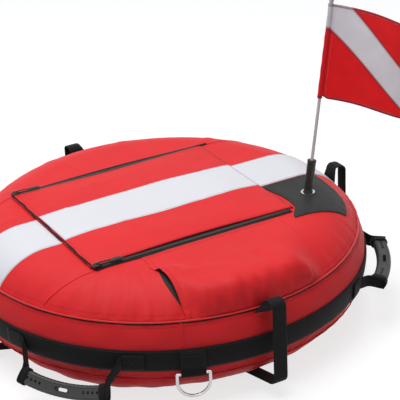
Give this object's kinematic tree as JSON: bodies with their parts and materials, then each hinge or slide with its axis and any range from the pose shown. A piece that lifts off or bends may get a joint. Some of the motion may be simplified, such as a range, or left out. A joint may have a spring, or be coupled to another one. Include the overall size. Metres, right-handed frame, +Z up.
{
  "type": "freediving training buoy",
  "caption": "Round inflatable surface buoy in a zipped fabric cover with webbing loops, moulded handles and a diver-down flag on a leaning mast.",
  "frame": {"origin": "on the floor, under the centre of the ring and of the steel line ring", "axes": "+Z up, +X along the white stripe towards the end with the flag, +Y to the rear zip"},
  "size_m": [0.8626, 0.8626, 0.6321],
  "materials": {
    "red_nylon": "matte woven nylon",
    "white_nylon": "matte woven nylon",
    "light_piping": "matte",
    "black_webbing": "ribbed webbing",
    "black_nylon": "coated nylon",
    "black_mesh": "open mesh",
    "zip_tape": "matte",
    "zip_slider": "moulded",
    "steel": "polished stainless",
    "black_rubber": "matte",
    "grip_rubber": "moulded matte",
    "pole_plastic": "translucent glass fibre",
    "flag_nylon": "matte nylon, red with a white diagonal"
  },
  "bodies": {
    "buoy": {"ring_cover": "red_nylon", "rim_piping": "light_piping", "lower_piping": "light_piping", "belt": "black_webbing", "loop_front": "black_webbing", "loop_right": "black_webbing", "loop_rear": "black_webbing", "loop_left": "black_webbing", "line_ring": "steel", "floor_panel": "black_mesh", "zip_deck_front": "zip_tape", "zip_deck_rear": "zip_tape", "stripe_left": "white_nylon", "stripe_right": "white_nylon", "pocket": "red_nylon", "mast_patch": "black_nylon", "grommet": "steel", "mast_socket": "black_rubber", "handle_patches": "black_webbing", "ring_keeper_1": "black_webbing", "ring_keeper_2": "black_webbing", "handle_grip_1": "grip_rubber", "handle_web_1": "black_webbing", "handle_grip_2": "grip_rubber", "handle_web_2": "black_webbing", "handle_grip_3": "grip_rubber", "handle_web_3": "black_webbing", "handle_grip_4": "grip_rubber", "handle_web_4": "black_webbing"},
    "lid": {"lid": "red_nylon", "lid_stripe": "white_nylon", "lid_binding": "black_webbing", "zip_lid_front": "zip_tape", "zip_lid_rear": "zip_tape", "zip_slider_front": "zip_slider", "zip_slider_rear": "zip_slider"},
    "mast": {"mast_pole": "pole_plastic", "mast_cap": "pole_plastic", "flag": "flag_nylon"},
    "ring_1": {"d_ring_1": "steel"},
    "ring_2": {"d_ring_2": "steel"}
  },
  "joints": [
    {"name": "lid_hinge", "type": "hinge", "parent": "buoy", "child": "lid", "pos_m": [0.187, 0, 0.234], "axis": [0, 1, 0], "range_deg": [0, 100]},
    {"name": "mast_lift", "type": "slide", "parent": "buoy", "child": "mast", "axis": [0.1062, -0.0605, 0.9925], "range_m": [0, 0.09]},
    {"name": "ring_swing_1", "type": "hinge", "parent": "buoy", "child": "ring_1", "pos_m": [-0.14636, -0.37157, 0.07419], "axis": [-0.9304, 0.3665, 0], "range_deg": [0, 100]},
    {"name": "ring_swing_2", "type": "hinge", "parent": "buoy", "child": "ring_2", "pos_m": [0.14636, 0.37157, 0.07419], "axis": [0.9304, -0.3665, 0], "range_deg": [0, 100]}
  ]
}
